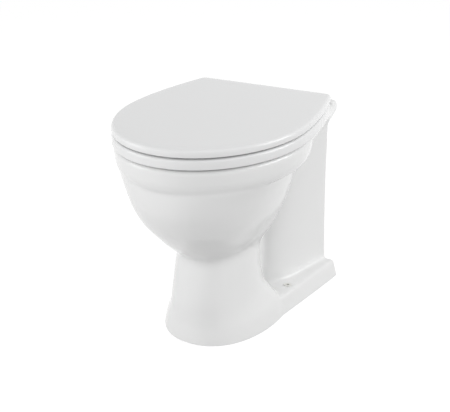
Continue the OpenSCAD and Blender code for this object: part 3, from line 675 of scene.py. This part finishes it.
def closeSeam(half):
    # at the middle plane the shading of both halves is the same
    mesh = half.data
    normals = [tuple(n.vector) for n in mesh.corner_normals]
    for corner, loop in enumerate(mesh.loops):
        if abs(mesh.vertices[loop.vertex_index].co.x) < seam["near"]:
            straight = Vector((0, normals[corner][1], normals[corner][2]))
            if straight.length > seam["leastLength"]:
                normals[corner] = tuple(straight.normalized())
    mesh.normals_split_custom_set(normals)
    return half


pan = rightHalf(pan)
panLeft = leftHalf(pan)
pan.name = "panRight"
panHalves = [closeSeam(pan), closeSeam(panLeft)]
for half in panHalves:
    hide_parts("pan")
    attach(half, "pan_body")
    printTriangles(half)


# seat and lid; a crown holds drops below the top and insets, the hollow levels heights above
# the hollow's top and insets, a pad its x, its distance from the wall and its turn in degrees
seat = {"z": 404, "thick": 18, "edgeRadii": (1.2, 5), "edgeSteps": (4, 8), "crownRise": 0.1,
        "crown": [(0.04, 9), (0, 12)],
        "openWidth": 105, "openMiddle": 325, "openFront": 455, "openBack": 195, "openPower": 2.1,
        "openLow": [(-1, 1.5), (0, 1.5), (1.5, 0.2)], "openRound": (7, 9), "openTurn": 1.45,
        "openSteps": 8, "openTop": (0.3, 11),
        "hollow": 11, "edge": 11, "hollowLevels": [(0, 2), (0.05, 4)],
        "padSize": (120, 23.4, 54), "pads": ((106, 425, 45), (125, 150, 0)),
        "lugRise": 3, "lugDrop": 3}
lid = {"z": 425.5, "thick": 14.5, "edgeRadii": (1.5, 6.2), "edgeSteps": (4, 8),
       "crownRise": 0.9, "crown": [(0.5, 9), (0.25, 20), (0.1, 40), (0, 75)],
       "hollow": 9, "edge": 14, "hollowLevels": [(-3, 2), (-0.8, 3.2), (0, 6), (0.05, 9)],
       "bufferRadius": 11, "bufferX": 100, "bufferD": 430, "lugRise": 2, "lugDrop": 3}
seatLugX = hinge["x"] - hinge["post"] / 2 - hinge["gap"] - hinge["lug"] / 2
lidLugX = hinge["x"] + hinge["post"] / 2 + hinge["gap"] + hinge["lug"] / 2


def slab(name, piece):
    # plate with rounded edges and a low crown
    (low, high), (lowSteps, highSteps) = piece["edgeRadii"], piece["edgeSteps"]
    top = piece["thick"] - piece["crownRise"]
    levels = [(low * (1 - cos(a)), low * (1 - sin(a))) for a in steps(0, pi / 2, lowSteps)]
    levels += [(top - high * (1 - sin(a)), high * (1 - cos(a)))
               for a in steps(0, pi / 2, highSteps)]
    levels += [(piece["thick"] - drop, inset) for drop, inset in piece["crown"]]
    return stacked(name, lidOutline, levels, piece["z"])


def hollowForm(piece):
    # what is taken out of a plate from below
    levels = [(-piece["hollow"] - overlap, 0)] + piece["hollowLevels"]
    return stacked("hollow", lambda inset: lidOutline(piece["edge"] + inset), levels,
                   piece["z"] + piece["hollow"])


def lugForm(piece, x):
    # the hull of the knuckle and of a block inside the plate's back edge
    bm = bmesh.new()
    low, high = piece["z"] + piece["lugRise"], piece["z"] + piece["thick"] - piece["lugDrop"]
    half, root = hinge["lug"] / 2, wall - plan["lidBack"] - hinge["rootInside"]
    rodInto(bm, hinge["knuckle"], (x - half, hingeY, hinge["z"]), (x + half, hingeY, hinge["z"]))
    blockInto(bm, (x - half, root, low), (x + half, root + hinge["rootDepth"], high))
    bmesh.ops.delete(bm, geom=bm.edges[:] + bm.faces[:], context="EDGES_FACES")
    hull = bmesh.ops.convex_hull(bm, input=bm.verts)
    inside = [item for item in hull["geom_interior"] if isinstance(item, bmesh.types.BMVert)]
    bmesh.ops.delete(bm, geom=inside, context="VERTS")
    return makeObject("lug", bm)


def hingeBore(x):
    reach = hinge["lug"] / 2 + overlap
    return rod("bore", hinge["bore"], (x - reach, hingeY, hinge["z"]),
               (x + reach, hingeY, hinge["z"]))


def seatMouth(gap):
    return oval(seat["openWidth"] + gap, seat["openMiddle"], seat["openFront"] + gap,
                seat["openBack"] - gap, seat["openPower"])


def padForm(side, x, d, turn):
    # solid pad across the hollow, where a buffer sits
    bm = bmesh.new()
    corner = Vector(seat["padSize"]) / 2
    pad = blockInto(bm, -corner, corner)
    bmesh.ops.rotate(bm, verts=pad, matrix=Matrix.Rotation(radians(turn * side), 3, "Z"))
    place = Vector((x * side, wall - d, seat["z"] - overlap))
    bmesh.ops.translate(bm, verts=pad, vec=place * mm)
    return makeObject("pad", bm)


def seatForm():
    z, thick, edge = seat["z"], seat["thick"], seat["edge"]
    roundHeight, roundInset = seat["openRound"]
    topRise, topInset = seat["openTop"]
    openLevels = seat["openLow"] + [
        (thick - roundHeight + roundHeight * sin(a), roundInset * (1 - cos(a)))
        for a in steps(0, seat["openTurn"], seat["openSteps"])] + [(thick + topRise, topInset)]
    keep = [stacked("innerEdge", seatMouth, [(-2 * overlap, edge), (thick, edge)], z)]
    keep += [padForm(side, *pad) for side in (-1, 1) for pad in seat["pads"]]
    return carve(slab("seat", seat),
                 joined=[lugForm(seat, side * seatLugX) for side in (-1, 1)],
                 cutters=[stacked("opening", seatMouth, openLevels, z),
                          carve(hollowForm(seat), cutters=keep)]
                 + [hingeBore(side * seatLugX) for side in (-1, 1)])


def lidForm():
    x, y, z = lid["bufferX"], wall - lid["bufferD"], lid["z"]
    body = carve(slab("lid", lid), cutters=[hollowForm(lid)])
    joined = []
    for side in (-1, 1):
        joined += [lugForm(lid, side * lidLugX),
                   rod("bufferSeat", lid["bufferRadius"], (x * side, y, z),
                       (x * side, y, z + lid["hollow"] + overlap))]
    return carve(body, joined=joined, cutters=[hingeBore(side * lidLugX) for side in (-1, 1)])


for makePiece, node, body in ((seatForm, "seat", "seat_body"), (lidForm, "lid", "lid_body")):
    piece = smoothLook(makePiece(), sharpAngles["plastic"])
    piece.name = "gloss" + node.capitalize()
    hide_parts(node)
    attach(piece, body)
    printTriangles(piece)


# hinges, buffers, bushes, sleeves and bolts; each material has its own edge radius
rounding = {"seat_plastic": 1.6, "nylon": 0.4, "rubber": 1.0, "steel": 0.5}
fineness = {"merge": 0.005, "flatAngle": 1, "edgeAngle": 40, "segments": 3}
record = frame["record"]
slotOf = {part["node"]: part["material_slot"] for part in record["subparts"]}
bodyOf = {node: body for body, nodes in record["behaviour"]["bodies"].items() for node in nodes}


def finePiece(name):
    # a merged copy of the CAD solid with its edges rounded
    bm = bmesh.new()
    bm.from_mesh(frame["nodes"][name].data)
    bmesh.ops.remove_doubles(bm, verts=bm.verts, dist=fineness["merge"] * mm)
    bmesh.ops.dissolve_limit(bm, angle_limit=radians(fineness["flatAngle"]), verts=bm.verts,
                             edges=bm.edges)
    crisp = [edge for edge in bm.edges if len(edge.link_faces) == 2
             and edge.calc_face_angle() > radians(fineness["edgeAngle"])]
    bmesh.ops.bevel(bm, geom=crisp, offset=rounding[slotOf[name]] * mm,
                    segments=fineness["segments"], profile=0.5, affect="EDGES",
                    clamp_overlap=True, material=-1)
    first, *rest = name.split("_")
    made = makeObject(first + "".join(word.capitalize() for word in rest), bm)
    return smoothLook(made, sharpAngles["smallPieces"])


smallPieces = {}
for name in frame["nodes"]:
    if name not in ("pan", "seat", "lid"):
        piece = smallPieces[name] = finePiece(name)
        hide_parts(name)
        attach(piece, bodyOf[name])
print("small pieces:", len(smallPieces))


def valueGroup(name, inputs, outputs):
    group = bpy.data.node_groups.new(name, "ShaderNodeTree")
    for socket, kind, default in inputs:
        made = group.interface.new_socket(name=socket, in_out="INPUT", socket_type=kind)
        if default is not None:
            made.default_value = default
    for socket, kind in outputs:
        group.interface.new_socket(name=socket, in_out="OUTPUT", socket_type=kind)
    return group, group.nodes.new("NodeGroupInput"), group.nodes.new("NodeGroupOutput")


def feed(tree, socket, value):
    # a number is set on the socket, and anything else is linked to it
    if isinstance(value, (int, float)):
        socket.default_value = value
    else:
        tree.links.new(value, socket)


def mathNode(tree, operation, first, second):
    node = tree.nodes.new("ShaderNodeMath")
    node.operation = operation
    feed(tree, node.inputs[0], first)
    feed(tree, node.inputs[1], second)
    return node.outputs[0]


def noiseNode(tree, vector, scale, detail):
    node = tree.nodes.new("ShaderNodeTexNoise")
    node.inputs["Detail"].default_value = detail
    tree.links.new(vector, node.inputs["Vector"])
    feed(tree, node.inputs["Scale"], scale)
    return node.outputs["Fac"]


noises = {"waveDetail": 1.0, "grainDetail": 2.0, "patchScale": 6.0, "patchDetail": 3.0}


def surfaceGroup():
    # slow waves, a fine grain and a faint change of tone, for moulded and fired surfaces
    group, given, result = valueGroup("mouldedSurface", [
        ("Vector", "NodeSocketVector", None), ("Wave Scale", "NodeSocketFloat", 14.0),
        ("Grain Scale", "NodeSocketFloat", 900.0), ("Grain Share", "NodeSocketFloat", 0.1),
        ("Tone", "NodeSocketColor", (0.9, 0.9, 0.9, 1)), ("Tone Change", "NodeSocketFloat", 0.02),
        ("Roughness", "NodeSocketFloat", 0.1), ("Roughness Change", "NodeSocketFloat", 0.05)],
        [("Color", "NodeSocketColor"), ("Roughness", "NodeSocketFloat"),
         ("Height", "NodeSocketFloat")])
    given = given.outputs
    waves = noiseNode(group, given["Vector"], given["Wave Scale"], noises["waveDetail"])
    grain = noiseNode(group, given["Vector"], given["Grain Scale"], noises["grainDetail"])
    patches = noiseNode(group, given["Vector"], noises["patchScale"], noises["patchDetail"])
    height = mathNode(group, "ADD", waves,
                      mathNode(group, "MULTIPLY", grain, given["Grain Share"]))
    change = mathNode(group, "SUBTRACT", patches, 0.5)
    rough = mathNode(group, "ADD", given["Roughness"],
                     mathNode(group, "MULTIPLY", change, given["Roughness Change"]))
    shade = group.nodes.new("ShaderNodeHueSaturation")
    group.links.new(given["Tone"], shade.inputs["Color"])
    toneChange = mathNode(group, "MULTIPLY", change, given["Tone Change"])
    group.links.new(mathNode(group, "ADD", 1.0, toneChange), shade.inputs["Value"])
    for socket, value in (("Color", shade.outputs["Color"]), ("Roughness", rough),
                          ("Height", height)):
        group.links.new(value, result.inputs[socket])
    return group


mouldedSurface = surfaceGroup()
finishes = {
    "china": {"tone": (0.86, 0.862, 0.86), "rough": 0.09, "waves": 9, "grain": 700,
              "grainShare": 0.01, "bump": 0.0006, "coat": 0.1, "toneChange": 0.02,
              "roughChange": 0.05},
    "seat_plastic": {"tone": (0.85, 0.853, 0.855), "rough": 0.17, "waves": 12, "grain": 1500,
                     "grainShare": 0.02, "bump": 0.0002, "coat": 0.0, "toneChange": 0.01,
                     "roughChange": 0.04},
    "nylon": {"tone": (0.78, 0.78, 0.75), "rough": 0.42, "waves": 60, "grain": 2500,
              "grainShare": 0.3, "bump": 0.0001, "coat": 0.0, "toneChange": 0.05,
              "roughChange": 0.1},
    "rubber": {"tone": (0.55, 0.55, 0.54), "rough": 0.62, "waves": 80, "grain": 3000,
               "grainShare": 0.5, "bump": 0.0001, "coat": 0.0, "toneChange": 0.08,
               "roughChange": 0.1},
    "steel": {"tone": (0.62, 0.62, 0.63), "rough": 0.28, "waves": 40, "grain": 1800,
              "grainShare": 0.6, "bump": 0.00005, "coat": 0.0, "toneChange": 0.04,
              "roughChange": 0.15},
}
gloss = {"coatRoughness": 0.03, "ior": 1.5, "brushing": (0.06, 1, 1)}


def makeFinish(name, finish):
    material = bpy.data.materials.new(name)
    material.use_nodes = True
    tree = material.node_tree
    shader = tree.nodes["Principled BSDF"]
    place = tree.nodes.new("ShaderNodeTexCoord")
    surface = tree.nodes.new("ShaderNodeGroup")
    surface.node_tree = mouldedSurface
    vector = place.outputs["Object"]
    if name == "steel":                         # brushed along the pins
        stretch = tree.nodes.new("ShaderNodeMapping")
        stretch.inputs["Scale"].default_value = gloss["brushing"]
        tree.links.new(vector, stretch.inputs["Vector"])
        vector = stretch.outputs["Vector"]
        shader.inputs["Metallic"].default_value = 1
    tree.links.new(vector, surface.inputs["Vector"])
    for socket, key in (("Wave Scale", "waves"), ("Grain Scale", "grain"),
                        ("Grain Share", "grainShare"), ("Tone Change", "toneChange"),
                        ("Roughness", "rough"), ("Roughness Change", "roughChange")):
        surface.inputs[socket].default_value = finish[key]
    surface.inputs["Tone"].default_value = (*finish["tone"], 1)
    tree.links.new(surface.outputs["Color"], shader.inputs["Base Color"])
    tree.links.new(surface.outputs["Roughness"], shader.inputs["Roughness"])
    bump = tree.nodes.new("ShaderNodeBump")
    bump.inputs["Distance"].default_value = finish["bump"]
    tree.links.new(surface.outputs["Height"], bump.inputs["Height"])
    tree.links.new(bump.outputs["Normal"], shader.inputs["Normal"])
    shader.inputs["Coat Weight"].default_value = finish["coat"]
    shader.inputs["Coat Roughness"].default_value = gloss["coatRoughness"]
    shader.inputs["IOR"].default_value = gloss["ior"]
    return material


finishOf = {name: makeFinish(name, finish) for name, finish in finishes.items()}
finished = [(half, "china") for half in panHalves]
finished += [(bpy.data.objects[name], "seat_plastic") for name in ("glossSeat", "glossLid")]
finished += [(piece, slotOf[name]) for name, piece in smallPieces.items()]
for piece, slot in finished:
    piece.data.materials.clear()
    piece.data.materials.append(finishOf[slot])
print("materials made")


# floor and world, in metres; floorShade is how much of the shadow the camera sees
studio = {"floorSize": 12, "floorDrop": 0.3 * mm, "floorTone": 0.5, "floorSeen": 0.95,
          "floorShade": 0.28, "floorGlow": 1.17, "skyDiffuse": 0.55, "skySeen": 1}


def grey(tone):
    return (tone, tone, tone, 1)


def seenDirectly(tree):
    # 1 for rays from the camera, from reflections and through glass
    path = tree.nodes.new("ShaderNodeLightPath")
    both = mathNode(tree, "MAXIMUM", path.outputs["Is Camera Ray"], path.outputs["Is Glossy Ray"])
    return mathNode(tree, "MAXIMUM", both, path.outputs["Is Transmission Ray"])


def mixShaders(tree, share, first, second):
    both = tree.nodes.new("ShaderNodeMixShader")
    feed(tree, both.inputs["Fac"], share)
    tree.links.new(first.outputs[0], both.inputs[1])
    tree.links.new(second.outputs[0], both.inputs[2])
    return both


def floorMaterial():
    # the camera and reflections see a near-white floor that keeps the shadow
    material = bpy.data.materials.new("paleFloor")
    material.use_nodes = True
    tree = material.node_tree
    tree.nodes.clear()
    plain, seen, glow, out = (tree.nodes.new(kind) for kind in (
        "ShaderNodeBsdfDiffuse", "ShaderNodeBsdfDiffuse", "ShaderNodeEmission",
        "ShaderNodeOutputMaterial"))
    plain.inputs["Color"].default_value = grey(studio["floorTone"])
    seen.inputs["Color"].default_value = grey(studio["floorSeen"])
    glow.inputs["Strength"].default_value = studio["floorGlow"]
    pale = mixShaders(tree, 1 - studio["floorShade"], seen, glow)
    chosen = mixShaders(tree, seenDirectly(tree), plain, pale)
    tree.links.new(chosen.outputs[0], out.inputs["Surface"])
    return material


def studioWorld():
    # soft light on the object, and white where the world itself is seen
    world = bpy.data.worlds.new("studio")
    world.use_nodes = True
    tree = world.node_tree
    tree.nodes.clear()
    soft, white, out = (tree.nodes.new(kind) for kind in (
        "ShaderNodeBackground", "ShaderNodeBackground", "ShaderNodeOutputWorld"))
    for background, strength in ((soft, studio["skyDiffuse"]), (white, studio["skySeen"])):
        background.inputs["Color"].default_value = grey(1)
        background.inputs["Strength"].default_value = strength
    chosen = mixShaders(tree, seenDirectly(tree), soft, white)
    tree.links.new(chosen.outputs[0], out.inputs["Surface"])
    return world


bm = bmesh.new()
bmesh.ops.create_grid(bm, x_segments=1, y_segments=1, size=studio["floorSize"],
                      matrix=Matrix.Translation((0, 0, -studio["floorDrop"])))
floor = makeObject("floor", bm)
floor.data.materials.append(floorMaterial())
scene.world = studioWorld()

# places and sizes in metres; a lamp that isn't mirrored doesn't show in the gloss
lamps = {
    "leftBox": {"place": (-2.2, -1.4, 1.0), "target": (0, 0, 0.25), "size": 1.5, "power": 14.5,
                "mirrored": True},
    "rightBox": {"place": (2.1, 1.0, 1.3), "target": (0, 0, 0.2), "size": 1.5, "power": 26.5,
                 "mirrored": True},
    "frontBox": {"place": (0, -2.6, 0.6), "target": (0, 0, 0.2), "size": 1.5, "power": 20.5,
                 "mirrored": False},
    "topBox": {"place": (0.5, -0.6, 2.4), "target": (0, 0, 0.3), "size": 0.35, "power": 1.3,
               "mirrored": True},
}
for name, lamp in lamps.items():
    data = bpy.data.lights.new(name, "AREA")
    data.energy, data.size, data.shape = lamp["power"], lamp["size"], "SQUARE"
    light = bpy.data.objects.new(name, data)
    scene.collection.objects.link(light)
    light.visible_glossy = lamp["mirrored"]
    aim(light, lamp["place"], lamp["target"])
scene.view_settings.view_transform = "Standard"
print("studio lit")
